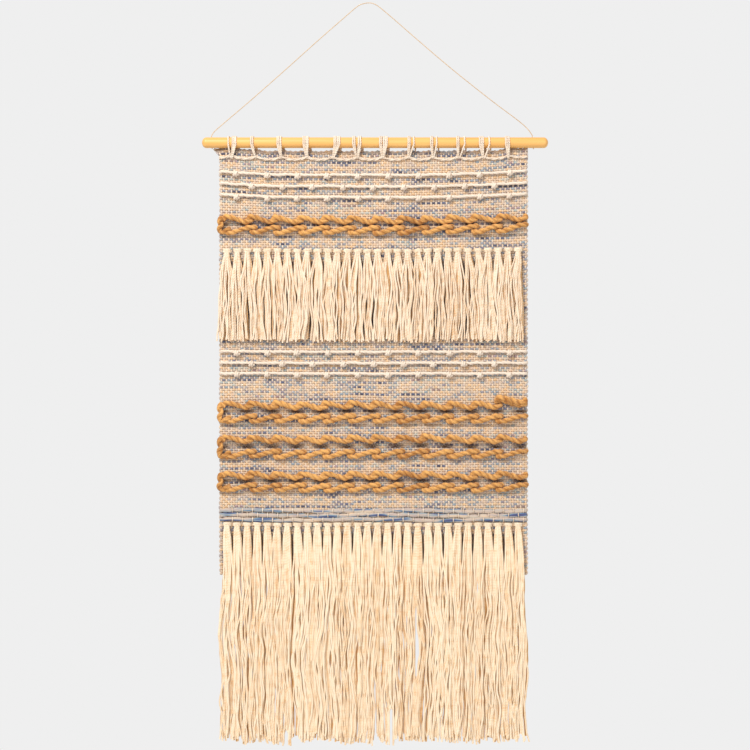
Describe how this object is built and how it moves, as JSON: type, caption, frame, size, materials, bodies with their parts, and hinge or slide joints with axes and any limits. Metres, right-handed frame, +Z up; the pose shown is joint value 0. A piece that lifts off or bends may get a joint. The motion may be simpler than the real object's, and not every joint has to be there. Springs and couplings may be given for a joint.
{
  "type": "tapestry wall hanging",
  "caption": "Handwoven fringed wall hanging laced with yarn loops to a wooden rod, with knotted tassel rows, braided yarn bands and a cord to hang it by.",
  "frame": {"origin": "the underside of the hanging cord at its peak, where the nail or hook carries it", "axes": "+Z up, the rod along X, the face of the cloth towards -Y and the wall towards +Y"},
  "size_m": [0.519, 0.0202, 1.1056],
  "materials": {
    "cord": "thin twisted natural cord",
    "wood": "light wood, satin",
    "lacing": "cream plied yarn",
    "cloth": "handwoven, cream warp with mottled blue-grey, mauve and tan weft",
    "slub": "soft cream slub yarn",
    "braid": "thick loosely plied mustard and tan yarn",
    "roving": "soft roving shaded blue, teal and mauve",
    "tassel": "cream cotton yarn"
  },
  "bodies": {
    "cord": {"hanging_cord": "cord"},
    "rod": {"hanging_rod": "wood", "left_cord_knot": "cord", "right_cord_knot": "cord"},
    "loops": {"rod_loop_01": "lacing", "rod_loop_02": "lacing", "rod_loop_03": "lacing", "rod_loop_04": "lacing", "rod_loop_05": "lacing", "rod_loop_06": "lacing", "rod_loop_07": "lacing", "rod_loop_08": "lacing", "rod_loop_09": "lacing", "rod_loop_10": "lacing", "rod_loop_11": "lacing", "rod_loop_12": "lacing"},
    "panel": {"top_hem": "cloth", "woven_panel": "cloth", "lacing_yarn": "lacing", "slub_row_1": "slub", "slub_row_2": "slub", "slub_row_3": "slub", "slub_row_4": "slub", "slub_row_5": "slub", "slub_row_6": "slub", "braid_1_upper": "braid", "braid_1_lower": "braid", "braid_2_upper": "braid", "braid_2_lower": "braid", "braid_3_upper": "braid", "braid_3_lower": "braid", "braid_4_upper": "braid", "braid_4_lower": "braid", "roving_pick_1": "roving", "roving_pick_2": "roving", "roving_pick_3": "roving", "upper_knots_1": "tassel", "upper_knots_2": "tassel", "upper_knots_3": "tassel", "upper_knots_4": "tassel", "upper_knots_5": "tassel", "lower_knots_1": "tassel", "lower_knots_2": "tassel", "lower_knots_3": "tassel", "lower_knots_4": "tassel", "lower_knots_5": "tassel"},
    "upper_fringe": {"upper_tassels_1": "tassel", "upper_tassels_2": "tassel", "upper_tassels_3": "tassel", "upper_tassels_4": "tassel", "upper_tassels_5": "tassel"},
    "lower_fringe": {"lower_tassels_1": "tassel", "lower_tassels_2": "tassel", "lower_tassels_3": "tassel", "lower_tassels_4": "tassel", "lower_tassels_5": "tassel"}
  },
  "joints": [
    {"name": "rod_roll", "type": "hinge", "parent": "cord", "child": "rod", "pos_m": [0, 0, -0.2007], "axis": [1, 0, 0], "range_deg": [-60, 60]},
    {"name": "panel_slide", "type": "slide", "parent": "rod", "child": "loops", "axis": [1, 0, 0], "range_m": [-0.006, 0.005]},
    {"name": "panel_swing", "type": "hinge", "parent": "loops", "child": "panel", "pos_m": [0, 0, -0.209], "axis": [-1, 0, 0], "range_deg": [0, 80]},
    {"name": "upper_fringe_swing", "type": "hinge", "parent": "panel", "child": "upper_fringe", "pos_m": [0, -0.0053, -0.37895], "axis": [-1, 0, 0], "range_deg": [0, 80]},
    {"name": "lower_fringe_swing", "type": "hinge", "parent": "panel", "child": "lower_fringe", "pos_m": [0, -0.0058, -0.79005], "axis": [-1, 0, 0], "range_deg": [0, 80]}
  ]
}
